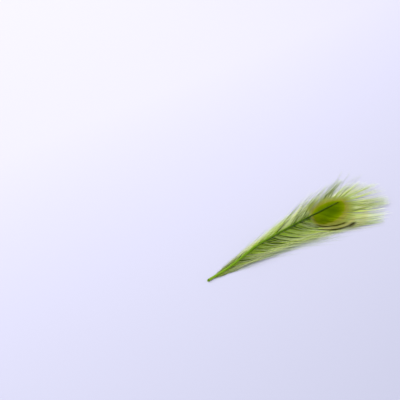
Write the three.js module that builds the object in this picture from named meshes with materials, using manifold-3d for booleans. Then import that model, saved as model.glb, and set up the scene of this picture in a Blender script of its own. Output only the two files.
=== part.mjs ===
// A peacock tail feather lying face up on a surface: a long shaft, a loose vane of barbs combed
// forward on both sides, and the eye near its end. A feather grows as one piece, so it is one solid:
// the barbs are gathered into locks that are joined to the shaft, and the dense vane of the eye is a
// thin plate. The shaft is the ridge, and the vane hangs down from it on both sides to the surface.
// Millimetres, +Z up. +X runs from the quill to the tip, and +Y is the feather's left. The origin is
// under the middle of its outline, at the height it rests on.

import * as THREE from "three";
import { mergeVertices } from "three/addons/utils/BufferGeometryUtils.js";
import Module from "manifold-3d";

const { smoothstep, degToRad, clamp } = THREE.MathUtils;

// Shaft: s is the distance along it, from the quill's cut end.
const SHAFT_LENGTH = 214; // to where the shaft ends, inside the eye
const QUILL_REST = 20; // the stretch of quill that lies on the surface
const QUILL_RADIUS = 1.6;
const CUT_END_RADIUS = 1.25;
const CUT_END_LENGTH = 2;
const SHAFT_END_RADIUS = 0.4;
const SHAFT_SIDES = 12;
const SHAFT_STEPS = 30;
const QUILL_HEIGHT = QUILL_RADIUS * Math.cos(Math.PI / SHAFT_SIDES);
const START_HEADING = 1.5; // degrees to the left of +X
const BEND = 5; // degrees by which it turns to the right, most of them near its end
const SHAFT_LIFT = 12.5; // rise from the quill to the ridge
const LIFT_END = 90; // station at which that rise is done
const SHAFT_DROP = 0.8; // fall from there to its end

// Vane: how its barbs grow, and how far out it meets the surface, at these stations along the shaft.
const STATIONS = [26, 60, 110, 150, 185, SHAFT_LENGTH];
const LEFT_LENGTHS = [48, 72, 96, 102, 80, 72]; // of the barbs
const RIGHT_LENGTHS = [48, 72, 98, 110, 98, 76];
const ROOT_ANGLES = [31, 32, 35, 40, 44, 34]; // degrees from the shaft
const MEAN_ANGLES = [15, 17.5, 21.5, 27, 27, 20];
const TIP_ANGLES = [9, 9, 11, 15, 18, 16];
const ROOT_HANDLE = 0.24; // share of its length for which a barb keeps to its root angle
const TIP_HANDLE = 0.42; // and to its tip angle
const HALF_WIDTHS = [8, 19, 28, 36, 43, 48];
const LEFT_SPREAD = 1; // how far the left barbs lean out, as a share of those angles
const RIGHT_SPREAD = 1.1;
const LEFT_WIDTH = 0.92; // the left half is narrower than the right one
const RIGHT_WIDTH = 1.1;
const FAN_LEAN = -4; // degrees by which the barbs at the shaft's end lean to the right
const DROOP_POWER = 2; // how steeply the vane leaves the ridge
const AHEAD_DROOP = 0.2; // how much less it droops towards the tip than to the sides

// Locks: the bundles of barbs that the solid has.
const LOCKS_PER_SIDE = 22;
const FAN_LOCKS = 8; // from the shaft's end
const LOCK_SPREAD = 1.07; // a lock runs as far out as the outermost barbs in it
const LOCK_WIDTH = 3.6;
const LOCK_THICKNESS = 1.1;
const LOCK_TIP_SHARE = 0.3; // width of its tip, as a share
const LOCK_TIP_THICKNESS = 0.7;
const LOCK_SIDES = 4;
const LOCK_STEPS = 7;

// Eye: the dense oval vane round the shaft's end.
const EYE_CENTRE = 200; // station along the shaft
const EYE_AHEAD = 25;
const EYE_BEHIND = 29;
const EYE_HALF_WIDTH = 19;
const EYE_EGG = 0.16; // how much wider it is towards the tip
const EYE_THICKNESS = 1.7;
const EYE_HOLD = 0.75; // share of the eye's size at which its locks begin
const EYE_ROUND = 36;
const EYE_RINGS = 10;

/** A value at station s, read off a list that belongs to STATIONS. */
function at(values, s) {
  const place = clamp(s, STATIONS[0], SHAFT_LENGTH);
  const i = Math.max(STATIONS.findIndex((station) => station >= place), 1);
  const share = (place - STATIONS[i - 1]) / (STATIONS[i] - STATIONS[i - 1]);
  return values[i - 1] + share * (values[i] - values[i - 1]);
}

/** Height of the shaft's centre line at station s. */
function shaftHeight(s) {
  const rise = SHAFT_LIFT * smoothstep(s, QUILL_REST, LIFT_END);
  return QUILL_HEIGHT + rise - SHAFT_DROP * smoothstep(s, LIFT_END, SHAFT_LENGTH);
}

/** The way the shaft runs at station s, seen from above, in radians from +X. */
function shaftHeading(s) {
  return degToRad(START_HEADING - BEND * (s / SHAFT_LENGTH) ** 2);
}

/** The shaft's centre line at station s, the sum of its headings. Past its end it goes straight on. */
function shaftPoint(s) {
  const grown = Math.min(s, SHAFT_LENGTH);
  const left = degToRad(START_HEADING) * grown;
  const right = (degToRad(BEND) * grown ** 3) / (3 * SHAFT_LENGTH ** 2);
  const beyond = Math.tan(shaftHeading(SHAFT_LENGTH)) * (s - grown);
  return new THREE.Vector3(s, left - right + beyond, shaftHeight(grown));
}

function shaftRadius(s) {
  const cut = smoothstep(s, 0, CUT_END_LENGTH) * (QUILL_RADIUS - CUT_END_RADIUS);
  const taper = clamp((s - QUILL_REST) / (SHAFT_LENGTH - QUILL_REST), 0, 1);
  return CUT_END_RADIUS + cut - taper * (QUILL_RADIUS - SHAFT_END_RADIUS);
}

/** Height of the vane's middle layer over the place x, y: down from the ridge to a tip that lies flat. */
function vaneHeight(x, y) {
  const ridge = shaftPoint(x);
  const aside = y - ridge.y;
  const ahead = Math.max(x - SHAFT_LENGTH, 0) * AHEAD_DROOP;
  const reach = at(HALF_WIDTHS, x) * (aside > 0 ? LEFT_WIDTH : RIGHT_WIDTH);
  const out = Math.min(Math.hypot(aside, ahead) / reach, 1);
  const lowest = LOCK_THICKNESS / 2;
  return lowest + (ridge.z - lowest) * (1 - out) ** DROOP_POWER;
}

/** The vane's upward normal over the place x, y, from its heights a step away on either side. */
function vaneNormal(x, y) {
  const step = 1;
  const slopeX = (vaneHeight(x + step, y) - vaneHeight(x - step, y)) / (2 * step);
  const slopeY = (vaneHeight(x, y + step) - vaneHeight(x, y - step)) / (2 * step);
  return new THREE.Vector3(-slopeX, -slopeY, 1).normalize();
}

/** Where the barb rooted at station s runs, seen from above. lean is 1 to the left and -1 to the right. */
function barbPlan(s, lean, turned) {
  const length = at(lean > 0 ? LEFT_LENGTHS : RIGHT_LENGTHS, s);
  const way = (angles) => {
    const turn = shaftHeading(s) + degToRad(turned + lean * at(angles, s));
    return new THREE.Vector2(Math.cos(turn), Math.sin(turn));
  };
  const root = new THREE.Vector2(shaftPoint(s).x, shaftPoint(s).y);
  const tip = root.clone().addScaledVector(way(MEAN_ANGLES), length);
  const leaving = root.clone().addScaledVector(way(ROOT_ANGLES), length * ROOT_HANDLE);
  const arriving = tip.clone().addScaledVector(way(TIP_ANGLES), -length * TIP_HANDLE);
  return new THREE.CubicBezierCurve(root, leaving, arriving, tip);
}

/** Seen from above, a point's place in the eye: 0 at its centre and 1 on its outline. */
function eyeShare(point) {
  const centre = shaftPoint(EYE_CENTRE);
  const turn = shaftHeading(EYE_CENTRE);
  const [dx, dy] = [point.x - centre.x, point.y - centre.y];
  const ahead = dx * Math.cos(turn) + dy * Math.sin(turn);
  const aside = dy * Math.cos(turn) - dx * Math.sin(turn);
  const share = ahead / (ahead > 0 ? EYE_AHEAD : EYE_BEHIND);
  const width = aside > 0 ? LEFT_WIDTH : RIGHT_WIDTH;
  return Math.hypot(share, aside / (EYE_HALF_WIDTH * width * (1 + EYE_EGG * clamp(share, -1, 1))));
}

/** A unit cylinder bent along path(t), made width(t) wide and thickness(t) thick, with t from 0 to 1. */
function bent(sides, steps, firstCorner, path, width, thickness) {
  const shape = new THREE.CylinderGeometry(0.5, 0.5, 1, sides, steps, false, firstCorner);
  const points = shape.getAttribute("position");
  for (let i = 0; i < points.count; i++) {
    const t = clamp(points.getY(i) + 0.5, 0, 1);
    const { centre, forward, up } = path(t);
    const across = forward.clone().cross(up).normalize();
    centre.addScaledVector(across, points.getX(i) * width(t));
    centre.addScaledVector(up, points.getZ(i) * thickness(t));
    points.setXYZ(i, centre.x, centre.y, centre.z);
  }
  return shape;
}

function shaft() {
  // The first steps are close together, so that the cut end is rounded and the rest is flat.
  const station = (t) => SHAFT_LENGTH * t ** 1.5;
  const path = (t) => {
    const turn = shaftHeading(station(t));
    const forward = new THREE.Vector3(Math.cos(turn), Math.sin(turn), 0);
    return { centre: shaftPoint(station(t)), forward, up: new THREE.Vector3(0, 0, 1) };
  };
  const across = (t) => 2 * shaftRadius(station(t));
  return bent(SHAFT_SIDES, SHAFT_STEPS, Math.PI / SHAFT_SIDES, path, across, across);
}

/** A lock: flat, ridged above and below, fullest past its root. In the eye it begins near the edge. */
function lock(s, lean, turned = 0) {
  const plan = barbPlan(s, lean, turned);
  let start = 0;
  while (eyeShare(plan.getPoint(start)) < EYE_HOLD) start += 0.01;
  const path = (t) => {
    const u = start + (1 - start) * t;
    const place = plan.getPoint(u);
    const way = plan.getTangent(u);
    const centre = new THREE.Vector3(place.x, place.y, vaneHeight(place.x, place.y));
    return { centre, forward: new THREE.Vector3(way.x, way.y, 0), up: vaneNormal(place.x, place.y) };
  };
  const fullness = (t) => Math.sin(Math.PI * (0.15 + 0.85 * t)) ** 0.7;
  const width = (t) => LOCK_WIDTH * (LOCK_TIP_SHARE + (1 - LOCK_TIP_SHARE) * fullness(t));
  const thickness = (t) => LOCK_THICKNESS + (LOCK_TIP_THICKNESS - LOCK_THICKNESS) * t;
  return bent(LOCK_SIDES, LOCK_STEPS, 0, path, width, thickness);
}

/** The eye: a flattened ball, drawn out to an egg and laid into the vane. */
function eyePlate() {
  const shape = new THREE.SphereGeometry(1, EYE_ROUND, EYE_RINGS);
  const points = shape.getAttribute("position");
  const centre = shaftPoint(EYE_CENTRE);
  const turn = shaftHeading(EYE_CENTRE);
  for (let i = 0; i < points.count; i++) {
    const [share, up, side] = [points.getX(i), points.getY(i), -points.getZ(i)];
    const ahead = share * (share > 0 ? EYE_AHEAD : EYE_BEHIND);
    const width = side > 0 ? LEFT_WIDTH : RIGHT_WIDTH;
    const aside = side * EYE_HALF_WIDTH * width * (1 + EYE_EGG * share);
    const x = centre.x + ahead * Math.cos(turn) - aside * Math.sin(turn);
    const y = centre.y + ahead * Math.sin(turn) + aside * Math.cos(turn);
    points.setXYZ(i, x, y, vaneHeight(x, y) + (up * EYE_THICKNESS) / 2);
  }
  return shape;
}

/** Every lock: those on both sides of the shaft, and the fan from its end. */
function locks() {
  const made = [];
  for (let i = 0; i < LOCKS_PER_SIDE; i++) {
    const s = STATIONS[0] + (i / LOCKS_PER_SIDE) * (SHAFT_LENGTH - STATIONS[0]);
    made.push(lock(s, LOCK_SPREAD * LEFT_SPREAD), lock(s, -LOCK_SPREAD * RIGHT_SPREAD));
  }
  for (let i = 0; i < FAN_LOCKS; i++) {
    made.push(lock(SHAFT_LENGTH, (2 * i) / (FAN_LOCKS - 1) - 1, FAN_LEAN));
  }
  return made;
}

const wasm = await Module();
wasm.setup();

function solid(geometry) {
  const bare = geometry.clone();
  bare.deleteAttribute("normal");
  bare.deleteAttribute("uv");
  const merged = mergeVertices(bare, 1e-3);
  return new wasm.Manifold(
    new wasm.Mesh({
      numProp: 3,
      vertProperties: new Float32Array(merged.attributes.position.array),
      triVerts: new Uint32Array(merged.index.array),
    }),
  );
}

function geometryOf(made) {
  const mesh = made.getMesh();
  const geometry = new THREE.BufferGeometry();
  geometry.setAttribute("position", new THREE.BufferAttribute(mesh.vertProperties, 3));
  geometry.setIndex(new THREE.BufferAttribute(mesh.triVerts, 1));
  geometry.computeVertexNormals();
  return geometry;
}

let grown = solid(shaft());
for (const piece of [eyePlate(), ...locks()]) grown = grown.add(solid(piece));

const dyedFeather = new THREE.MeshStandardMaterial({ color: 0x7d9440, roughness: 0.6, metalness: 0 });
const feather = new THREE.Mesh(geometryOf(grown), dyedFeather);
feather.name = "feather";
const middle = new THREE.Box3().setFromObject(feather).getCenter(new THREE.Vector3());
feather.position.set(-middle.x, -middle.y, 0);

const part = new THREE.Group();
part.add(feather);

export default part;
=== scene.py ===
"""A dyed peacock tail feather lying face up: its shaft, the loose herl on both sides of it, the eye, the
fan of herl at the shaft's end, the strand that passes the eye, and the down at the foot of the vane.

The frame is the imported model's: +X from the quill to the tip, +Y to the feather's left, +Z up.
Shapes are worked out in millimetres, and put into the meshes in metres."""

import math

import bpy
import numpy as np
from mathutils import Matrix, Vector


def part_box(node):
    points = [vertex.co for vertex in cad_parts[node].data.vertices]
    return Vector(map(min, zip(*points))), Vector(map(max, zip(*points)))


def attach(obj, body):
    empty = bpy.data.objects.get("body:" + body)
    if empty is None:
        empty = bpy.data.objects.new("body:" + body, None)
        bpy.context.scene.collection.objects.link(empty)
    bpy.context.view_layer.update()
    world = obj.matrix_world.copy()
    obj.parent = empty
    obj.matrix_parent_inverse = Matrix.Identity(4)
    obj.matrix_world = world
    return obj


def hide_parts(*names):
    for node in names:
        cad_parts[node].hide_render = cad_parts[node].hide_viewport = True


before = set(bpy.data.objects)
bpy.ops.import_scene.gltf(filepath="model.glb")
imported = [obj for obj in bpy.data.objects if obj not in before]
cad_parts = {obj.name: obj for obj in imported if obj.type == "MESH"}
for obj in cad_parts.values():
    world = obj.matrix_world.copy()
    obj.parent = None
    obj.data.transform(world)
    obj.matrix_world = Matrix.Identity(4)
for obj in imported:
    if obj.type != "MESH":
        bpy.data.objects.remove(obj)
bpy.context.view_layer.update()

# ---------------------------------------------------------------------------------------------
# The shaft. A tail feather grows on one tapering tube of keratin: a hollow quill, cut off at a
# slant, and above it the solid rachis, which is domed on its face and grooved underneath. The
# dye took brightest on the bare quill, and the shaft darkens towards the eye.

MM = 0.001
SHAFT_LENGTH = 214.0  # from the quill's cut end to where the shaft ends, inside the eye
QUILL_REST = 20.0  # the stretch of quill that lies on the surface
QUILL_RADIUS = 1.6
SHAFT_END_RADIUS = 0.4
QUILL_WALL = 0.34
QUILL_HOLLOW = 9.0  # how far in the cut quill is open
CUT_SLANT = 2.2  # how much further the quill is cut back on its upper side
START_HEADING = 1.5  # degrees to the left of +X
BEND = 5.0  # degrees by which the shaft turns to the right, most of them near its end
SHAFT_LIFT = 12.5  # rise from the quill to the ridge
LIFT_END = 90.0
SHAFT_DROP = 0.8
RACHIS_START = 26.0  # where the quill begins to turn into the grooved rachis
RACHIS_FULL = 60.0
GROOVE = 0.34  # depth of the groove underneath, as a share of the radius
GROOVE_WIDTH = 0.5  # radians
SHOULDERS = 0.05  # how far the corners of the squarer rachis stand out, as a share of the radius
NARROWER = 0.06
TALLER = 0.04
CUT_FADE = 6.0  # how far up the quill its rings still slant
SHAFT_SIDES = 20
SHAFT_RINGS = 150
QUILL_Y = 4.334  # how far the cut end lies left of the outline's middle
SOLID_SIDES = 12  # the solid's quill has so many flat sides, and rests on one
BLACK = (0, 0, 0, 1)
WHITE = (1, 1, 1, 1)

quill_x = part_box("feather")[0].x / MM
quill_z = QUILL_RADIUS * math.cos(math.pi / SOLID_SIDES)


def ramp(x, start, end):
    """0 up to start and 1 past end, with a smooth rise between them."""
    t = np.clip((x - start) / (end - start), 0, 1)
    return t * t * (3 - 2 * t)


def shaft_heading(s):
    """The way the shaft runs at station s, in radians from +X: its start, less the bend times the square
    of the share of the way up."""
    return np.radians(START_HEADING - BEND * (np.minimum(s, SHAFT_LENGTH) / SHAFT_LENGTH) ** 2)


def ridge(s):
    """The shaft's centre line at station s: the sum of its headings, and straight on past its end. It
    rises from the quill to the ridge and drops a little towards its end."""
    grown = np.minimum(s, SHAFT_LENGTH)
    left = math.radians(START_HEADING) * grown - math.radians(BEND) * grown**3 / (3 * SHAFT_LENGTH**2)
    beyond = math.tan(math.radians(START_HEADING - BEND)) * (s - grown)
    rise = SHAFT_LIFT * ramp(grown, QUILL_REST, LIFT_END)
    drop = SHAFT_DROP * ramp(grown, LIFT_END, SHAFT_LENGTH)
    return np.stack([quill_x + s, QUILL_Y + left + beyond, quill_z + (rise - drop)], axis=-1)


def shaft_radius(s):
    """The quill's radius, which shrinks evenly to the shaft's end."""
    taper = np.clip((s - QUILL_REST) / (SHAFT_LENGTH - QUILL_REST), 0, 1)
    return QUILL_RADIUS - taper * (QUILL_RADIUS - SHAFT_END_RADIUS)


def unit(v):
    """Vectors shortened to a length of 1."""
    return v / np.maximum(np.linalg.norm(v, axis=-1, keepdims=True), 1e-9)


def directions(path, up):
    """Along a path: its forward direction, the one to its left, and up squared to both."""
    forward = unit(np.gradient(path, axis=-2))
    left = unit(np.cross(up, forward))
    return forward, left, np.cross(forward, left)


def tube_faces(rows, columns):
    """Triangles of a tube of rings, each ring a row of columns points, drawn to a point at both ends."""
    row, column = np.meshgrid(np.arange(rows - 1), np.arange(columns), indexing="ij")
    a = row * columns + column
    b = row * columns + (column + 1) % columns
    c, d = a + columns, b + columns
    pairs = np.stack([np.stack([b, a, d], -1), np.stack([d, a, c], -1)], axis=2)
    sized = np.ones(pairs.shape[:3], bool)
    sized[0, :, 0] = sized[-1, :, 1] = False
    return pairs[sized]


def make_piece(name, points, triangles, smooth, material, slot, unrolled, **marks):
    """A mesh of these points, in millimetres. Unrolled are their places on the piece's flat map, which goes
    round past 1 where a tube closes. Each mark is kept as an attribute of the points."""
    mesh = bpy.data.meshes.new(name)
    mesh.vertices.add(len(points))
    mesh.vertices.foreach_set("co", (points * MM).astype(np.float32).ravel())
    mesh.loops.add(triangles.size)
    mesh.loops.foreach_set("vertex_index", triangles.astype(np.int32).ravel())
    mesh.polygons.add(len(triangles))
    mesh.polygons.foreach_set("loop_start", np.arange(0, triangles.size, 3, dtype=np.int32))
    mesh.polygons.foreach_set("use_smooth", np.full(len(triangles), smooth))
    corners = unrolled[triangles]
    closing = (np.ptp(corners[..., 1], axis=1) > 0.5)[:, None] & (corners[..., 1] < 0.5)
    corners[..., 1] += closing
    mesh.uv_layers.new(name="OFBake").data.foreach_set("uv", corners.astype(np.float32).ravel())
    for mark, values in marks.items():
        layer = mesh.attributes.new(mark, "FLOAT", "POINT")
        layer.data.foreach_set("value", values.astype(np.float32).ravel())
    mesh.update(calc_edges=True)
    mesh.materials.append(material)
    piece = bpy.data.objects.new(name, mesh)
    bpy.context.scene.collection.objects.link(piece)
    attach(piece, "root")
    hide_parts("feather")


def dye(red, green, blue):
    """A colour as a screen shows it, from 0 to 255, turned into linear light."""
    screen = np.array([red, green, blue]) / 255
    linear = np.where(screen <= 0.04045, screen / 12.92, ((screen + 0.055) / 1.055) ** 2.4)
    return (*linear, 1.0)


class Finish:
    """A material under construction: its nodes are added and joined by the calls below."""

    def __init__(self, name, roughness, specular):
        self.material = bpy.data.materials.new(name)
        self.material.use_nodes = True
        self.nodes = self.material.node_tree.nodes
        self.links = self.material.node_tree.links
        self.shader = self.nodes["Principled BSDF"]
        self.shader.inputs["Roughness"].default_value = roughness
        self.shader.inputs["Specular IOR Level"].default_value = specular

    def add(self, kind, **settings):
        """A new node of a kind, with these settings."""
        node = self.nodes.new(kind)
        for name, value in settings.items():
            setattr(node, name, value)
        return node

    def join(self, output, socket):
        """A link from one node's output to another's socket."""
        self.links.new(output, socket)

    def mark(self, name):
        """The value of one of the piece's attributes."""
        return self.add("ShaderNodeAttribute", attribute_name=name).outputs["Fac"]

    def math(self, operation, a, b=0.0, clamp=False):
        """A sum worked out on a and b, each a number or an output."""
        node = self.add("ShaderNodeMath", operation=operation, use_clamp=clamp)
        for socket, value in zip(node.inputs, (a, b)):
            if isinstance(value, (int, float)):
                socket.default_value = value
            else:
                self.join(value, socket)
        return node.outputs[0]

    def colours(self, value, stops, smooth=True):
        """A colour looked up by value in stops of (place, colour)."""
        node = self.add("ShaderNodeValToRGB")
        node.color_ramp.interpolation = "EASE" if smooth else "LINEAR"
        while len(node.color_ramp.elements) < len(stops):
            node.color_ramp.elements.new(0.5)
        for element, (place, colour) in zip(node.color_ramp.elements, stops):
            element.position = place
            element.color = colour
        self.join(value, node.inputs["Fac"])
        return node.outputs["Color"]

    def mix(self, share, a, b):
        """Colour a turned into colour b by share."""
        node = self.add("ShaderNodeMix", data_type="RGBA", clamp_factor=True)
        factor, first, second = node.inputs[0], node.inputs[6], node.inputs[7]
        for socket, value in ((factor, share), (first, a), (second, b)):
            if isinstance(value, (int, float, tuple)):
                socket.default_value = value
            else:
                self.join(value, socket)
        return node.outputs[2]

    def noise(self, scale, stretch=(1, 1, 1), detail=3.0):
        """Noise on the object's own coordinates, drawn out along an axis by a small stretch."""
        place = self.add("ShaderNodeTexCoord").outputs["Object"]
        mapping = self.add("ShaderNodeMapping")
        mapping.inputs["Scale"].default_value = stretch
        node = self.add("ShaderNodeTexNoise")
        node.inputs["Scale"].default_value = scale
        node.inputs["Detail"].default_value = detail
        self.join(place, mapping.inputs["Vector"])
        self.join(mapping.outputs["Vector"], node.inputs["Vector"])
        return node.outputs["Fac"]

    def place(self, axis):
        """The object's own X, Y or Z, in metres."""
        split = self.add("ShaderNodeSeparateXYZ")
        self.join(self.add("ShaderNodeTexCoord").outputs["Object"], split.inputs["Vector"])
        return split.outputs[axis]

    def bump(self, height, strength, distance):
        """Fine relief: the normal leans as the height changes."""
        node = self.add("ShaderNodeBump")
        node.inputs["Strength"].default_value = strength
        node.inputs["Distance"].default_value = distance
        self.join(height, node.inputs["Height"])
        self.join(node.outputs["Normal"], self.shader.inputs["Normal"])

    def lit_through(self, share, colour):
        """Thin keratin also passes light on: part of the finish is a translucent shader."""
        through = self.add("ShaderNodeBsdfTranslucent")
        self.join(colour, through.inputs["Color"])
        mixed = self.add("ShaderNodeMixShader")
        mixed.inputs["Fac"].default_value = share
        self.join(self.shader.outputs["BSDF"], mixed.inputs[1])
        self.join(through.outputs["BSDF"], mixed.inputs[2])
        self.join(mixed.outputs["Shader"], self.nodes["Material Output"].inputs["Surface"])


def shaft_finish():
    """Smooth keratin: lime at the quill, darker up the shaft, with fine lengthwise streaks."""
    finish = Finish("dyed keratin", roughness=0.5, specular=0.05)
    along = finish.mark("along")
    body = finish.colours(along, [
        (0.0, dye(112, 144, 34)),
        (0.07, dye(104, 138, 24)),
        (0.2, dye(96, 134, 14)),
        (0.5, dye(78, 112, 8)),
        (0.85, dye(48, 76, 0)),
        (1.0, dye(30, 46, 0)),
    ])
    streaks = finish.noise(900, stretch=(0.05, 1, 1))
    streaky = finish.colours(streaks, [(0.35, BLACK), (0.7, WHITE)])
    body = finish.mix(0.16, body, finish.mix(streaky, body, dye(170, 196, 70)))
    finish.join(body, finish.shader.inputs["Base Color"])
    finish.shader.inputs["Subsurface Weight"].default_value = 0.15
    finish.shader.inputs["Subsurface Radius"].default_value = (0.0008, 0.001, 0.0003)
    finish.bump(streaks, strength=0.35, distance=0.0001)
    return finish.material


def make_shaft():
    """The tube: a profile of (station, radius) runs from the hollow's floor out over the cut rim and on to
    the tip, and is carried round the centre line. The cut slants, a groove is pressed in underneath, and
    past the quill the section is squarer, and a little taller than wide."""
    inner = QUILL_RADIUS - QUILL_WALL
    hollow = [(QUILL_HOLLOW, 0.0), (QUILL_HOLLOW, 0.6 * inner), (QUILL_HOLLOW - 0.7, inner), (4.0, inner),
              (1.5, inner), (0.15, inner + 0.03), (0.0, inner + 0.12), (0.05, QUILL_RADIUS - 0.06)]
    outer = np.concatenate([np.linspace(0.3, CUT_FADE, 8), np.linspace(8, SHAFT_LENGTH - 0.6, SHAFT_RINGS)])
    tip = [(SHAFT_LENGTH - 0.2, 0.7 * SHAFT_END_RADIUS), (SHAFT_LENGTH, 0.0)]
    profile = np.array(hollow + [(s, float(shaft_radius(s))) for s in outer] + tip)
    station, radius = profile[:, 0], profile[:, 1]
    angle = np.linspace(0, 2 * np.pi, SHAFT_SIDES, endpoint=False)
    rachis = ramp(station, RACHIS_START, RACHIS_FULL)[:, None]
    from_below = (angle + np.pi) % (2 * np.pi) - np.pi + np.pi / 2
    under = np.exp(-((from_below / GROOVE_WIDTH) ** 2))
    reach = radius[:, None] * (1 - GROOVE * rachis * under) * (1 + SHOULDERS * rachis * np.cos(4 * angle))
    side = reach * np.cos(angle) * (1 - NARROWER * rachis)
    height = reach * np.sin(angle) * (1 + TALLER * rachis)
    centre = ridge(station)
    heading = shaft_heading(station)
    forward = np.stack([np.cos(heading), np.sin(heading), 0 * heading], -1)
    left = np.stack([-np.sin(heading), np.cos(heading), 0 * heading], -1)
    cut = CUT_SLANT * (1 - ramp(station, 0, CUT_FADE))[:, None] * (1 + height / QUILL_RADIUS) / 2
    points = (centre[:, None] + left[:, None] * side[..., None] + forward[:, None] * cut[..., None]
              + np.array([0, 0, 1.0]) * height[..., None])
    lengthwise = np.repeat(np.linspace(0, 1, len(station)), SHAFT_SIDES)
    around = np.tile(np.arange(SHAFT_SIDES) / (SHAFT_SIDES + 1), len(station))
    along = np.repeat(station / SHAFT_LENGTH, SHAFT_SIDES)
    make_piece("shaft", points.reshape(-1, 3), tube_faces(len(station), SHAFT_SIDES), True, shaft_finish(),
               "shaft", np.stack([lengthwise, around], -1), along=along)


make_shaft()

# ---------------------------------------------------------------------------------------------
# The herl. Long loose barbs grow from both sides of the shaft and are combed forward. Each is a fine
# tapering stem with a fringe of barbules down both edges. They cling together in wisps that lie over
# each other and hang from the ridge of the shaft to the surface. The dye took sage green to lime on
# them, a darker olive on some wisps, and pale at the tips. The dark olive of the rows underneath is
# painted shade.

STATIONS = [10, 26, 60, 110, 150, 185, SHAFT_LENGTH]  # the lists below have a value for each of these
LEFT_LENGTHS = [26, 48, 72, 96, 102, 80, 72]
RIGHT_LENGTHS = [30, 48, 72, 98, 110, 98, 76]
ROOT_ANGLES = [26, 31, 32, 35, 40, 44, 34]  # degrees from the shaft
MEAN_ANGLES = [12, 15, 17.5, 21.5, 27, 27, 20]
TIP_ANGLES = [8, 9, 9, 11, 15, 18, 16]
HALF_WIDTHS = [6, 8, 19, 28, 36, 43, 48]  # from the ridge to where the vane lies flat
ROOT_HANDLE = 0.24  # how far a barb keeps to its root angle, and to its tip angle, as shares of its length
TIP_HANDLE = 0.42
LEFT_SPREAD = 1.0  # the angles on each side, as shares of those above
RIGHT_SPREAD = 1.1
LEFT_WIDTH = 0.92
RIGHT_WIDTH = 1.1
DROOP_POWER = 2.0
AHEAD_DROOP = 0.2  # how much of the way past the shaft's end counts as way out
LOWEST = 0.55  # height of the vane's middle layer where it lies flat

HERL_MIDDLE = 104.0  # where the lower pieces end and the upper ones begin
EYE_FOOT = 172.0  # from here up, the barbs are close together and make the eye
UNDER_APART = 1.5  # how far apart on the shaft the barbs of each row stand
WISPS_APART = 1.3
BRIGHT_APART = 3.0

BARB_STEPS = 20
WISP_SPREAD = 1.2  # of each random amount, the most that a wisp shares, and that a barb has by itself
LEAN_SPREAD = 0.06  # the share by which angles differ
WISP_CUT = 0.09  # the share by which the lengths of wisps differ
STRAY_SHARE = 0.05  # of the barbs stray from the others, by up to so many degrees
STRAY_TURN = 3.0
TUFT_PULL = 0.6  # how much of the way to its tuft's station a barb is drawn
# The sways of a barb: how wide, by what power of the way along it grows, and how many radians it has.
SWAYS = [(0.7, 1.3, 4.5), (0.4, 1.0, 10), (0.1, 1.0, 24)]
SWAY_SHIFT = 3  # radians
LOOSE_LIFT = 1.5  # by how much the loosest tips rise from the vane
BARB_FLOOR = 0.2  # height below which no barb runs
WISP_SHADE = 0.7  # the part of its shade that a barb shares with its wisp

STEM_TAPER = 0.75
BARBULE_OFF = 0.02  # how far out from the stem's middle a barbule's foot lies
BARBULE_RISE = 0.05  # how steeply barbules rise from the vane, on average
BARBULE_WAVER = 7  # degrees by which their angles differ
FIRST_BARBULES = 0.6  # length of the barbules at the shaft, as a share
FULL_BARBULES = 5.0  # how far from the shaft they have their full length
TIP_SHORTER = 0.6  # how much shorter and narrower they are at the tip
TIP_NARROWER = 0.34
BARBULE_KEEL = 0.05  # how far a barbule's lower corner lies under its foot
TIP_FLOOR = 0.05  # heights below which no barbule's tip and no corner lies
CORNER_FLOOR = 0.03
# Faces of a barbule, a sliver on four corners: the two ends of its foot, one below them, and its tip.
LEFT_SLIVER = [[3, 1, 0], [3, 2, 1], [3, 0, 2], [2, 0, 1]]
RIGHT_SLIVER = [[0, 1, 3], [1, 2, 3], [2, 0, 3], [1, 0, 2]]

EYE_CENTRE = 198.2
EYE_ASIDE = -6.0  # how far to the left of the shaft its centre lies
EYE_TURN = 7.5  # degrees to the left of the shaft
EYE_AHEAD = 23.0
EYE_BEHIND = 29.5
EYE_LEFT = 19.5
EYE_RIGHT = 12.3
RIM_AHEAD = 20.0  # how far past the outline the share grows by 1, ahead of the eye and behind it
RIM_BEHIND = 7.0
RIM_WIDENS = (-26, -8)  # where along the eye it goes from one to the other
EYE_SIDE_FADE = 3.0
# Lines on the eye's right: how far outside its outline, how thick, from where to where, and how strong.
# The brown lines are partly the eye's own brown rings and partly painted shade in the gaps between its barbs
# and the strands beside it.
BROWN_AND_SHADE_LINES = [(9.4, 1.2, -36, 8, 1.0), (15.8, 1.1, -36, 16, 1.0), (17.0, 1.9, -4, 18, 0.85)]
TAN_LINES = [(12.6, 1.6, -32, 24, 1.0), (22.0, 5.0, -4, 46, 0.4)]
LINE_FLARE = 0.2
LINE_FADE = 8.0


def at(values, s):
    """The value at station s, read between those of a list that goes with the stations."""
    return np.interp(s, STATIONS, values)


def vane_height(x, y):
    """Height of the vane over x, y: the ridge's height, times a power of what is left of the way out."""
    s = x - quill_x
    crest = ridge(s)
    aside = y - crest[..., 1]
    ahead = np.maximum(s - SHAFT_LENGTH, 0) * AHEAD_DROOP
    reach = at(HALF_WIDTHS, s) * np.where(aside > 0, LEFT_WIDTH, RIGHT_WIDTH)
    out = np.minimum(np.hypot(aside, ahead) / reach, 1)
    return LOWEST + (crest[..., 2] - LOWEST) * (1 - out) ** DROOP_POWER


def vane_up(x, y):
    """The vane's upward normal over x, y, from its heights a millimetre to either side."""
    slope_x = (vane_height(x + 1, y) - vane_height(x - 1, y)) / 2
    slope_y = (vane_height(x, y + 1) - vane_height(x, y - 1)) / 2
    return unit(np.stack([-slope_x, -slope_y, np.ones_like(x)], -1))


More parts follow.
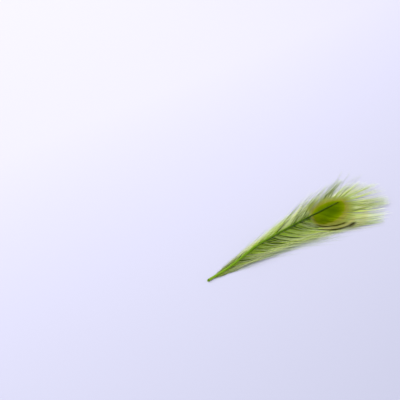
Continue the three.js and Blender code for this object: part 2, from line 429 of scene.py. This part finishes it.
def eye_place(x, y):
    """Where x, y lies by the eye: how far ahead of its middle, how far outside its outline, on which side
    (1 at its left, 0 at its right), and its share of the way out. The share is 1 at the outline, and past
    it rises by 1 in the rim's width, which is greater ahead of the eye than behind it."""
    centre = ridge(np.array(EYE_CENTRE))
    turn = shaft_heading(np.array(EYE_CENTRE))
    dx = x - centre[0] + EYE_ASIDE * np.sin(turn)
    dy = y - centre[1] - EYE_ASIDE * np.cos(turn)
    turn = turn + math.radians(EYE_TURN)
    ahead = dx * np.cos(turn) + dy * np.sin(turn)
    aside = dy * np.cos(turn) - dx * np.sin(turn)
    share = np.hypot(ahead / np.where(ahead > 0, EYE_AHEAD, EYE_BEHIND),
                     aside / np.where(aside > 0, EYE_LEFT, EYE_RIGHT))
    away = np.hypot(ahead, aside)
    out = away - away / np.maximum(share, 1e-6)
    rim = RIM_BEHIND + (RIM_AHEAD - RIM_BEHIND) * ramp(ahead, *RIM_WIDENS)
    return ahead, out, 1 - ramp(-aside, 0, EYE_SIDE_FADE), np.where(share < 1, share, 1 + out / rim)


def lines(place, kinds):
    """How strongly each place carries a line on the eye's right. The place is how far ahead and out it
    lies, and its side, as eye_place gives them. A line lies so far outside the outline, and further by
    its flare times the way ahead, and fades in and out at its ends."""
    ahead, out, left = place
    strength = 0 * out
    for middle, thick, start, end, full in kinds:
        run = full * ramp(ahead, start, start + LINE_FADE) * (1 - ramp(ahead, end - LINE_FADE, end))
        off = out - LINE_FLARE * ahead - middle
        strength = np.maximum(strength, np.exp(-((off / thick) ** 2)) * run)
    return strength * (1 - left)


def barb_plan(s, lean, turned, stretch, u):
    """Seen from above, the place at share u of the barb rooted at station s: a cubic curve that leaves the
    shaft at the root angle, arrives at the tip angle, and has its tip at the mean angle from its root."""
    length = np.where(lean > 0, at(LEFT_LENGTHS, s), at(RIGHT_LENGTHS, s)) * stretch
    root = ridge(s)[..., :2]

    def way(angles):
        turn = shaft_heading(s) + np.radians(turned + lean * at(angles, s))
        return np.stack([np.cos(turn), np.sin(turn)], -1)

    length = length[..., None]
    tip = root + way(MEAN_ANGLES) * length
    leaving = root + way(ROOT_ANGLES) * length * ROOT_HANDLE
    arriving = tip - way(TIP_ANGLES) * length * TIP_HANDLE
    u = u[..., None]
    return (1 - u) ** 3 * root + 3 * (1 - u) ** 2 * u * leaving + 3 * (1 - u) * u**2 * arriving + u**3 * tip


def roots(rng, start, end, apart, uneven):
    """Stations from start to end, so far apart, and each moved up or down by as much as uneven."""
    s = np.arange(start, end, apart)
    return s + rng.uniform(-uneven, uneven, len(s))


def grow_barbs(rng, s, lean, turned=0.0, tuft=None, short=0.0, uneven=0.12, gather=0.7, gather_from=0.25,
               sway=1.0, veer=2.0, fray=1.2, wisp=(2, 5), layer=(-0.2, 0.5), shade=(0.1, 1.0)):
    """Paths of one row of barbs, as an array of barb, step and x, y, z, and the shade of each. A barb
    follows its place in the vane, is drawn to the middle of its wisp, sways with it and a little by
    itself, leaves it again near its tip, and lies over or under its neighbours. Tuft is the station that
    its outer half is drawn to. Short is the share by which all barbs, or each, are cut short, and each is
    cut by as much as an uneven share more."""
    count = len(s)
    u = np.linspace(0, 1, BARB_STEPS)[None, :]
    member = np.repeat(np.arange(count), rng.integers(wisp[0], wisp[1] + 1, count))[:count]
    wisps = member[-1] + 1

    def each(spread):
        """A random amount for each barb, of which it shares half with its wisp."""
        shared = rng.uniform(-WISP_SPREAD, WISP_SPREAD, wisps)[member]
        return spread * (shared + rng.uniform(-WISP_SPREAD, WISP_SPREAD, count))[:, None]

    middle = (np.bincount(member, s) / np.bincount(member))[member]
    station = s[:, None] + (middle - s)[:, None] * gather * ramp(u, gather_from, 1.0)
    if tuft is not None:
        station = station + (tuft - s)[:, None] * TUFT_PULL * ramp(u, 0.4, 1.0)
    lean = np.broadcast_to(lean, count)[:, None] * (1 + each(LEAN_SPREAD))
    strays = (rng.random((count, 1)) < STRAY_SHARE) * rng.uniform(-STRAY_TURN, STRAY_TURN, (count, 1))
    turned = np.broadcast_to(turned, count)[:, None] + (each(veer) + strays) * u
    short = np.broadcast_to(short, count)[:, None]
    cut = short + WISP_CUT * rng.random(wisps)[member][:, None] + uneven * rng.random((count, 1)) ** 2
    plan = barb_plan(station, lean, turned, 1 - cut, u)
    forward = unit(np.gradient(plan, axis=1))
    left = np.stack([-forward[..., 1], forward[..., 0]], -1)
    bends = 0
    for size, power, waves in SWAYS:
        bends = bends + each(size) * u**power * np.sin(waves * u + each(SWAY_SHIFT))
    bends = bends + fray * rng.uniform(-WISP_SPREAD, WISP_SPREAD, (count, 1)) * ramp(u, 0.55, 1.15)
    plan = plan + left * (sway * (bends - bends[:, :1]))[..., None]

    over = rng.uniform(layer[0], layer[1], count)[:, None] * ramp(u, 0, 0.1)
    over = over + rng.random((count, 1)) ** 3 * LOOSE_LIFT * u**2
    floor = BARB_FLOOR + 0.1 * rng.random((count, 1))
    height = np.maximum(vane_height(plan[..., 0], plan[..., 1]) + over, floor)
    part = WISP_SHADE * rng.random(wisps)[member] + (1 - WISP_SHADE) * rng.random(count)
    shades = shade[0] + (shade[1] - shade[0]) * ramp(part, 0.25, 0.75)
    return np.concatenate([plan, height[..., None]], -1), shades


def read_along(values, u):
    """Values kept per barb and step, read at shares u of the way along each barb."""
    steps = values.shape[1]
    place = np.clip(u * (steps - 1), 0, steps - 1.001)
    low = place.astype(int)
    part = (place - low).reshape(*place.shape, *[1] * (values.ndim - 2))
    barb = np.arange(len(values))[:, None]
    return values[barb, low] * (1 - part) + values[barb, low + 1] * part


def dress_barbs(rng, path, shade, stem=0.15, barbule=1.4, apart=0.5, eye_apart=0.5, angle=42.0, width=0.3,
                lift=0.25, bare=0.0):
    """The mesh of a row of barbs. Stems are three-sided tapering tubes, drawn to a point at both ends.
    Barbules are closed slivers that stand off both edges from the bare length on, lean to the tip at an
    angle, and are shorter at the ends. They are apart by one length, and by another inside the eye. On
    the flat map each barb has a strip."""
    count, steps = path.shape[:2]
    forward, left, up = directions(path, vane_up(path[..., 0], path[..., 1]))
    u = np.linspace(0, 1, steps)
    tone = rng.random(count)
    thick = stem * (1 - STEM_TAPER * u) * (0.85 + 0.3 * rng.random((count, 1)))
    thick[:, 0] = thick[:, -1] = 0
    corner = np.radians([90, 210, 330])
    ring = left[:, :, None] * np.cos(corner)[:, None] + up[:, :, None] * np.sin(corner)[:, None]
    points = [(path[:, :, None] + ring * thick[..., None, None]).reshape(-1, 3)]
    triangles = [(tube_faces(steps, 3)[None] + (np.arange(count) * steps * 3)[:, None, None]).reshape(-1, 3)]
    barb = np.repeat(np.arange(count), steps * 3)
    along = np.tile(np.repeat(u, 3), count)
    strip = barb + 0.5 + np.tile([0, -0.06, 0.06], count * steps)
    marks = [(along, shade[barb], tone[barb], np.zeros(len(barb)), strip)]

    eye_share = eye_place(path[..., 0], path[..., 1])[-1]
    gap = eye_apart + (apart - eye_apart) * ramp(eye_share, 0.9, 1.3)
    leg = np.linalg.norm(np.diff(path, axis=1), axis=2)
    run = np.concatenate([np.zeros((count, 1)), np.cumsum(leg, 1)], 1)
    number = np.concatenate([np.zeros((count, 1)), np.cumsum(leg * 2 / (gap[:, 1:] + gap[:, :-1]), 1)], 1)
    most = int(number.max())
    order = np.arange(most)[None, :] + rng.uniform(0.2, 0.8, (count, most))
    place = np.stack([np.interp(order[i], number[i], u) for i in range(count)])
    from_shaft = read_along(run, place)
    keep = (order < number[:, -1:] - 0.5) & (from_shaft > bare)
    foot = read_along(path, place)
    ahead, aside, over = (unit(read_along(v, place)) for v in (forward, left, up))
    full = FIRST_BARBULES + (1 - FIRST_BARBULES) * ramp(from_shaft, 0, FULL_BARBULES)
    full = full * (1 - TIP_SHORTER * ramp(place, 0.5, 1.0))
    half_width = width * (0.5 - TIP_NARROWER * ramp(place, 0.45, 0.95))
    half_place = half_width / run[:, -1:]
    barb = np.broadcast_to(np.arange(count)[:, None], place.shape)
    start = count * steps * 3
    n = np.count_nonzero(keep)
    for way, sliver in ((1, LEFT_SLIVER), (-1, RIGHT_SLIVER)):
        lean = np.radians(angle + rng.normal(0, BARBULE_WAVER, place.shape))
        rise = rng.normal(BARBULE_RISE, lift, place.shape)
        reach = barbule * full * (0.75 + 0.5 * rng.random(place.shape))
        out = ahead * np.cos(lean)[..., None] + way * aside * np.sin(lean)[..., None] + over * rise[..., None]
        tip = foot + unit(out) * reach[..., None]
        tip[..., 2] = np.maximum(tip[..., 2], TIP_FLOOR)
        root = foot + aside * way * BARBULE_OFF
        half = ahead * half_width[..., None]
        corners = np.stack([root - half, root + half, root - over * BARBULE_KEEL, tip], axis=2)
        points.append(corners[keep].reshape(-1, 3))
        triangles.append((np.array(sliver)[None] + (start + 4 * np.arange(n))[:, None, None]).reshape(-1, 3))
        start += 4 * n
        ends = [place - half_place, place + half_place, place, place + half_place]
        along = np.stack(ends, -1)[keep].ravel()
        own = np.repeat(barb[keep], 4)
        strip = own + 0.5 + way * np.tile([0.08, 0.08, 0.02, 0.46], n)
        marks.append((along, shade[own], tone[own], np.tile([0, 0, 0, 1.0], n), strip))
    points = np.concatenate(points)
    points[:, 2] = np.maximum(points[:, 2], CORNER_FLOOR)
    names = ("along", "shade", "tone", "flue", "strip")
    marks = {name: np.concatenate(parts) for name, parts in zip(names, zip(*marks))}
    ahead, out, left, share = eye_place(points[:, 0], points[:, 1])
    place = ahead, out + marks["tone"] - 0.5, left
    marks["eye"], marks["brown_and_shade"], marks["tan"] = share, lines(place, BROWN_AND_SHADE_LINES), lines(place, TAN_LINES)
    return points, np.concatenate(triangles), marks


def make_barbs(name, rows, material, slot):
    """One piece of several rows of dressed barbs. The strips of all its barbs share its flat map."""
    starts = np.cumsum([0] + [len(points) for points, _, _ in rows])
    barbs = np.cumsum([0] + [int(marks["strip"].max()) + 1 for _, _, marks in rows])
    points = np.concatenate([points for points, _, _ in rows])
    triangles = np.concatenate([triangles + start for (_, triangles, _), start in zip(rows, starts)])
    marks = {mark: np.concatenate([row[2][mark] for row in rows]) for mark in rows[0][2]}
    strip = np.concatenate([row[2]["strip"] + barb for row, barb in zip(rows, barbs)])
    del marks["strip"]
    unrolled = np.stack([np.clip(marks["along"], 0, 1), strip / barbs[-1]], -1)
    make_piece(name, points, triangles, False, material, slot, unrolled, **marks)


def herl_finish():
    """Dyed barbs: sage green and lime, some wisps a darker olive, pale at the tips, and in the eye its own
    rings. The dark olive of the under rows is painted shade, as is the shadow mixed into the eye's rings.
    """
    finish = Finish("dyed herl", roughness=0.65, specular=0.0)
    along, shade, tone, flue = (finish.mark(name) for name in ("along", "shade", "tone", "flue"))
    eye, brown_and_shade, tan = finish.mark("eye"), finish.mark("brown_and_shade"), finish.mark("tan")
    lime = finish.colours(along, [
        (0.0, dye(70, 104, 0)),
        (0.02, dye(80, 116, 0)),
        (0.05, dye(170, 208, 30)),
        (0.25, dye(192, 220, 58)),
        (0.6, dye(220, 236, 116)),
        (0.8, dye(232, 243, 176)),
        (1.0, dye(244, 250, 230)),
    ])
    sage = finish.colours(along, [
        (0.0, dye(70, 104, 0)),
        (0.02, dye(90, 120, 20)),
        (0.06, dye(190, 208, 112)),
        (0.3, dye(224, 233, 178)),
        (0.6, dye(242, 245, 200)),
        (1.0, dye(248, 251, 236)),
    ])
    dark_and_painted_shade = finish.colours(along, [
        (0.0, dye(44, 70, 0)),
        (0.3, dye(58, 84, 0)),
        (0.55, dye(84, 108, 0)),
        (0.8, dye(134, 160, 24)),
        (1.0, dye(216, 234, 150)),
    ])
    light = finish.mix(finish.colours(tone, [(0.22, BLACK), (0.62, WHITE)]), lime, sage)
    # Low shade takes the dark olive: painted shade on the under rows, a random darker tone on the wisps above
    # them.
    vane = finish.mix(finish.colours(shade, [(0.25, BLACK), (0.6, WHITE)]), dark_and_painted_shade, light)
    vane = finish.mix(finish.math("MULTIPLY", flue, 0.2), vane, dye(196, 214, 130))
    from_quill = finish.math("SUBTRACT", finish.place("X"), quill_x * MM)
    station = finish.math("DIVIDE", from_quill, SHAFT_LENGTH * MM)
    foot = finish.colours(station, [(0.05, (0.6, 0.6, 0.6, 1)), (0.36, BLACK)])
    vane = finish.mix(foot, vane, dye(112, 132, 36))
    blotch = finish.noise(260, detail=2.0)
    ragged = finish.math("ADD", eye, finish.math("MULTIPLY", finish.math("SUBTRACT", blotch, 0.5), 0.1))
    ragged = finish.math("ADD", ragged, finish.math("MULTIPLY", finish.math("SUBTRACT", tone, 0.5), 0.03))
    ring = finish.math("MULTIPLY", ragged, 0.5)
    rings = finish.colours(ring, [
        (0.0, dye(104, 134, 0)),
        (0.2, dye(112, 142, 0)),
        (0.38, dye(138, 162, 0)),
        (0.475, dye(160, 180, 10)),
        (0.505, dye(182, 182, 54)),
        (0.58, dye(192, 195, 86)),
        (0.74, dye(190, 202, 98)),
    ], smooth=False)
    speckled = finish.colours(finish.noise(1500, detail=1.0), [(0.52, BLACK), (0.62, WHITE)])
    rim = finish.colours(ring, [(0.5, BLACK), (0.54, WHITE), (0.62, WHITE), (0.68, BLACK)])
    speckles = finish.math("MULTIPLY", finish.math("MULTIPLY", speckled, rim), 0.6)
    rings = finish.mix(speckles, rings, dye(128, 112, 24))
    root = finish.colours(along, [(0.015, WHITE), (0.045, BLACK)])
    rings = finish.mix(root, rings, dye(36, 56, 0))
    inside = finish.colours(ring, [(0.7, WHITE), (0.95, BLACK)])
    shadow = finish.math("MULTIPLY", finish.math("SUBTRACT", 1.0, shade), 0.3)
    rings = finish.mix(shadow, rings, dye(60, 80, 0))
    body = finish.mix(inside, vane, rings)
    body = finish.mix(finish.math("MULTIPLY", tan, 0.8), body, dye(208, 202, 116))
    uneven = finish.math("SUBTRACT", 1.5, finish.math("MULTIPLY", tone, 0.5))
    # Brown lines: partly the eye's own brown rings, partly painted shade in the gaps beside the eye.
    body = finish.mix(finish.math("MULTIPLY", brown_and_shade, uneven, clamp=True), body, dye(70, 66, 0))
    finish.join(body, finish.shader.inputs["Base Color"])
    finish.lit_through(0.32, body)
    return finish.material


rng = np.random.default_rng(3)
herl = herl_finish()
# The pieces on each side: their names, where they start and end, and the painted shade of the darkest under
# barbs.
HERL_PARTS = [("lower", STATIONS[0], HERL_MIDDLE, 0.05), ("upper", HERL_MIDDLE, EYE_FOOT, 0.2)]

for side, spread in (("left", LEFT_SPREAD), ("right", -RIGHT_SPREAD)):
    for part, start, end, dark_and_painted_shade in HERL_PARTS:
        # Underneath, an even row darkened as painted shade; then the wisps; and a few bright thin wisps
        # across them.
        s = roots(rng, start, end, UNDER_APART, 0.5)
        paths, shade = grow_barbs(rng, s, spread, short=0.26, gather=0.3, layer=(-1.2, -0.5),
                                  shade=(dark_and_painted_shade, dark_and_painted_shade + 0.3))
        rows = [dress_barbs(rng, paths, shade, barbule=2.2, apart=1.05, width=1.1, bare=0.4)]
        s = roots(rng, start, end, WISPS_APART, 0.4)
        paths, shade = grow_barbs(rng, s, spread, uneven=0.48, gather=0.85, gather_from=0.1)
        rows.append(dress_barbs(rng, paths, shade, barbule=1.2, apart=0.64, bare=0.8, angle=36))
        s = roots(rng, start, end, BRIGHT_APART, 1.2)
        paths, shade = grow_barbs(rng, s, spread, gather=1.0, gather_from=0.0, wisp=(2, 3), veer=2.4,
                                  layer=(0.5, 1.1), shade=(0.9, 1.0))
        rows.append(dress_barbs(rng, paths, shade, stem=0.2, barbule=0.9, bare=0.8, angle=30))
        make_barbs(f"{part}_herl_{side}", rows, herl, "vane")

# ---------------------------------------------------------------------------------------------
# The eye. Round the shaft's end the barbs stand close, and their flat barbules overlap into one satin
# web. Past the eye's rim they come apart again into tufts. From the shaft's end itself a fan of barbs
# runs on, and on the right a strand of barbs from behind the eye passes it.

EYE_APART = 0.66
EYE_UNDER_APART = 1.4
# Each side: its spread, and how far apart and how wide the barbules of its under row are.
EYE_SIDES = [("left", LEFT_SPREAD, 0.9, 0.65), ("right", -RIGHT_SPREAD, 0.6, 1.0)]
FAN_BARBS = 26
FAN_SPREAD = 1.1
FAN_LEAN = -4.0  # degrees by which the whole fan turns left
FAN_LONGER = 0.05
# Tufts of the fan: their lean, how many barbs they have, and by what share those are longer.
FAN_TUFTS = [(0.85, 8, 0.05), (0.42, 20, 0.14), (-0.14, 8, 0.1), (-0.68, 20, 0.05), (-1.0, 7, 0.05)]
TUFT_SPREAD = 0.07
# Tufts beside the eye: their station, the degrees that they turn left, and by what share they are longer.
EYE_TUFTS = {
    "left": [(178, 1, 0.14), (199, 0, 0.0), (213, 0, 0.0)],
    "right": [(171, -3, -0.05), (213, 5, 0.0)],
}
HAIRS = 9
HAIR_ROOTS = (196.0, 210.0)
STRAND_APART = 1.1
STRAND_ROOTS = (140.0, 172.0)
STRAND_MIDDLE = 161.0
STRAND_BARE = 30.0  # its barbs have no barbules where they run among the others

for side, spread, apart, width in EYE_SIDES:
    s = np.arange(EYE_FOOT, SHAFT_LENGTH, EYE_UNDER_APART)
    paths, shade = grow_barbs(rng, s, spread, gather=0, sway=0.4, veer=1, layer=(-0.5, -0.2),
                              shade=(0.4, 1.0))
    rows = [dress_barbs(rng, paths, shade, barbule=2.0, apart=apart, eye_apart=0.45, angle=40, width=width,
                        lift=0.04)]
    s = np.arange(EYE_FOOT, SHAFT_LENGTH, EYE_APART)
    stations, turns, longer = np.array(EYE_TUFTS[side]).T
    nearest = np.abs(s[:, None] - stations).argmin(1)
    paths, shade = grow_barbs(rng, s, spread, turns[nearest], stations[nearest], short=-longer[nearest],
                              gather_from=0.45, sway=0.8, veer=1.5, layer=(0.1, 0.5), shade=(0.3, 1.0))
    rows.append(dress_barbs(rng, paths, shade, barbule=1.5, apart=0.6, eye_apart=0.3, angle=32, width=0.34,
                            lift=0.08))
    make_barbs(f"eye_{side}", rows, herl, "eye")

# The fan: barbs spread evenly, with its tufts between them.
lean = np.linspace(-FAN_SPREAD, FAN_SPREAD, FAN_BARBS)
longer = np.full(FAN_BARBS, FAN_LONGER)
for middle, barbs, share in FAN_TUFTS:
    lean = np.append(lean, rng.normal(middle, TUFT_SPREAD, barbs))
    longer = np.append(longer, np.full(barbs, share))
s = np.full(len(lean), SHAFT_LENGTH - 1.0)
paths, shade = grow_barbs(rng, s, lean, turned=FAN_LEAN, short=-longer, gather=0, veer=1.5, fray=2.0,
                          wisp=(3, 6), layer=(0.1, 0.6), shade=(0.4, 1.0))
rows = [dress_barbs(rng, paths, shade, barbule=1.5, eye_apart=0.28, angle=32, width=0.32, lift=0.12)]
# A few single hairs on the left run on past the tufts.
s = np.linspace(*HAIR_ROOTS, HAIRS)
paths, shade = grow_barbs(rng, s, 1.2, short=-0.26, gather=0, sway=1.5, veer=3.5, wisp=(1, 1),
                          layer=(0.2, 0.8), shade=(0.1, 0.5))
rows.append(dress_barbs(rng, paths, shade, stem=0.17, barbule=0.8, apart=0.8, width=0.22))
make_barbs("fan", rows, herl, "eye")

# The strand: its barbs are drawn to the one in its middle.
s = np.arange(*STRAND_ROOTS, STRAND_APART)
paths, shade = grow_barbs(rng, s, -RIGHT_SPREAD, tuft=STRAND_MIDDLE, gather=0.3, sway=0.6, veer=1.2,
                          layer=(0.2, 0.7), shade=(0.15, 0.6))
rows = [dress_barbs(rng, paths, shade, barbule=1.5, apart=0.6, bare=STRAND_BARE, angle=32, width=0.6,
                    lift=0.1)]
make_barbs("strand", rows, herl, "vane")

# ---------------------------------------------------------------------------------------------
# The down. At the foot of the vane, and under its edges, grow soft thin barbs with long loose barbules
# that don't hold together. They take the dye faintly and let the light through.

DOWN_START = 8.0
DOWN_APART = 3.0
# The down on each side: its spread, and the station where it ends.
DOWN_SIDES = [("left", 1.1 * LEFT_SPREAD, 60.0), ("right", -1.18 * RIGHT_SPREAD, 130.0)]


def down_finish():
    """Pale soft fluff: grey-green, and whiter at the ends of its barbules."""
    finish = Finish("down", roughness=0.8, specular=0.05)
    body = finish.colours(finish.mark("along"), [
        (0.0, dye(160, 196, 60)),
        (0.2, dye(196, 210, 150)),
        (1.0, dye(226, 234, 214)),
    ])
    finish.join(body, finish.shader.inputs["Base Color"])
    finish.lit_through(0.45, body)
    return finish.material


down = down_finish()
for side, spread, end in DOWN_SIDES:
    s = roots(rng, DOWN_START, end, DOWN_APART, 0.8)
    paths, shade = grow_barbs(rng, s, spread, gather=0.2, sway=1.8, veer=4, layer=(-0.9, -0.2))
    rows = [dress_barbs(rng, paths, shade, stem=0.06, barbule=2.6, angle=52, width=0.09, lift=0.35)]
    make_barbs(f"down_{side}", rows, down, "vane")

# ---------------------------------------------------------------------------------------------
# The stage: a pale lavender surface that grows paler further from the camera as painted light falloff, soft
# studio light from above, and the camera.

FLOOR_SIZE = 6000.0
PAINTED_LIGHT_FADE = 0.8  # painted light falloff: share of the way from the floor's darker colour to its paler one in a metre to the left
LAMP_TARGET = (0, 0, 0)
WORLD_STRENGTH = 0.88

bpy.ops.mesh.primitive_plane_add(size=FLOOR_SIZE * MM, location=(0, 0, 0))
floor = bpy.context.object
floor.name = "floor"
floor_finish = Finish("floor", roughness=0.9, specular=0.1)
further = floor_finish.math("ADD", floor_finish.math("MULTIPLY", floor_finish.place("Y"), PAINTED_LIGHT_FADE), 0.5)
# The floor's pale lavender, darker towards the camera and paler away from it: the change is painted light
# falloff.
paper_and_painted_falloff = floor_finish.colours(further, [(0.1, dye(160, 162, 179)), (0.8, dye(194, 192, 209))], smooth=False)
floor_finish.join(paper_and_painted_falloff, floor_finish.shader.inputs["Base Color"])
floor.data.materials.append(floor_finish.material)


def soft_light(name, size, power, place, colour):
    """A square area light at a place in metres, turned to the feather."""
    lamp = bpy.data.lights.new(name, "AREA")
    lamp.size = size
    lamp.energy = power
    lamp.color = colour
    light = bpy.data.objects.new(name, lamp)
    bpy.context.scene.collection.objects.link(light)
    light.location = place
    aim = np.array(LAMP_TARGET) - np.array(place)
    tilt = math.acos(-aim[2] / np.linalg.norm(aim))
    light.rotation_euler = (tilt, 0, math.atan2(aim[1], aim[0]) - math.pi / 2)


soft_light("softbox", 2.4, 42, (0.0, 0.9, 1.6), (1.0, 0.99, 1.0))
soft_light("fill", 1.0, 5.6, (-0.9, -0.7, 1.0), (0.96, 0.97, 1.0))

world = bpy.data.worlds.new("studio")
bpy.context.scene.world = world
world.use_nodes = True
background = world.node_tree.nodes["Background"]
background.inputs["Color"].default_value = dye(240, 242, 250)
background.inputs["Strength"].default_value = WORLD_STRENGTH
bpy.context.scene.view_settings.view_transform = "Standard"

CAMERA_TURN = 52.84  # the way it looks, in degrees from +X
CAMERA_DOWN = 41.0
CAMERA_AWAY = 1069.0
CAMERA_TARGET = (-61.7, 128.3)  # the place on the surface that it looks at
CAMERA_LENS = 72.0

camera = bpy.data.objects.new("camera", bpy.data.cameras.new("camera"))
bpy.context.scene.collection.objects.link(camera)
turn = math.radians(CAMERA_TURN)
pitch = math.radians(CAMERA_DOWN)
back = CAMERA_AWAY * math.cos(pitch)
camera.location = (
    (CAMERA_TARGET[0] - back * math.cos(turn)) * MM,
    (CAMERA_TARGET[1] - back * math.sin(turn)) * MM,
    CAMERA_AWAY * math.sin(pitch) * MM,
)
camera.rotation_euler = (math.pi / 2 - pitch, 0, turn - math.pi / 2)
camera.data.lens = CAMERA_LENS
bpy.context.scene.camera = camera
